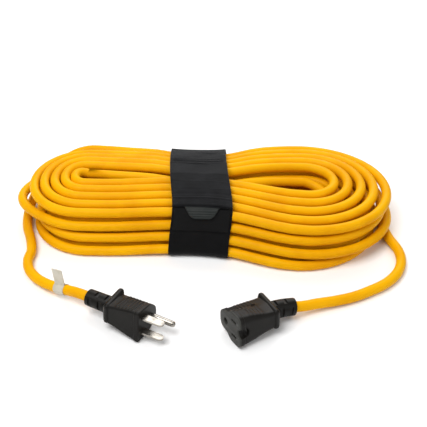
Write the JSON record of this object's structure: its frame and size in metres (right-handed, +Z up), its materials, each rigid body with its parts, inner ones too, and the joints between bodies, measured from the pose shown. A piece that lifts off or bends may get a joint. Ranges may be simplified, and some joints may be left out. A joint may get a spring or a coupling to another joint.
{
  "type": "extension cord",
  "caption": "Outdoor extension cord wound into a flat hank, tied at the waist by a hook-and-loop strap, with a moulded grounded plug and connector.",
  "frame": {"origin": "middle of the hank's box, on the surface that it lies on", "axes": "+X along the hank towards its connector end, +Y to the back away from the plug and the connector, +Z up"},
  "size_m": [0.3329, 0.2323, 0.0506],
  "materials": {
    "jacket": "golden yellow soft vinyl, slightly glossy",
    "label": "off-white film label, blank",
    "webbing": "black woven and brushed strap",
    "fastener_tape": "black hook and loop tape",
    "thread": "black sewing thread",
    "pull_tab": "dark grey ribbed pull tab",
    "moulding": "black soft vinyl moulding, satin",
    "carrier": "dark grey moulded plastic",
    "plated_contact": "nickel-plated brass",
    "spring_contact": "spring brass",
    "core_insulation": "vinyl core insulation"
  },
  "bodies": {
    "root": {"hank": "jacket", "plug_tail": "jacket", "connector_tail": "jacket", "label_flag": "label", "strap_band": "webbing", "strap_loop_tape": "fastener_tape", "strap_back_panel": "webbing", "back_stitches": "thread", "plug_body": "moulding", "plug_core": "carrier", "line_blade": "plated_contact", "neutral_blade": "plated_contact", "ground_pin": "plated_contact", "plug_jacket_end": "jacket", "plug_line_wire": "core_insulation", "plug_neutral_wire": "core_insulation", "plug_ground_wire": "core_insulation", "connector_body": "moulding", "connector_carrier": "carrier", "line_contact": "spring_contact", "neutral_contact": "spring_contact", "ground_contact": "spring_contact", "connector_jacket_end": "jacket", "connector_line_wire": "core_insulation", "connector_neutral_wire": "core_insulation", "connector_ground_wire": "core_insulation"},
    "flap": {"strap_flap": "webbing", "strap_hook_tape": "fastener_tape", "flap_hem": "webbing", "hem_stitches": "thread"},
    "tab": {"pull_tab": "pull_tab"}
  },
  "joints": [
    {"name": "flap_peel", "type": "hinge", "parent": "root", "child": "flap", "pos_m": [-0.0019, 0.01611, 0.05042], "axis": [-1, 0, 0], "range_deg": [0, 110]},
    {"name": "tab_lift", "type": "hinge", "parent": "flap", "child": "tab", "pos_m": [-0.0019, -0.04586, 0.043], "axis": [-1, 0, 0], "range_deg": [0, 80]}
  ]
}
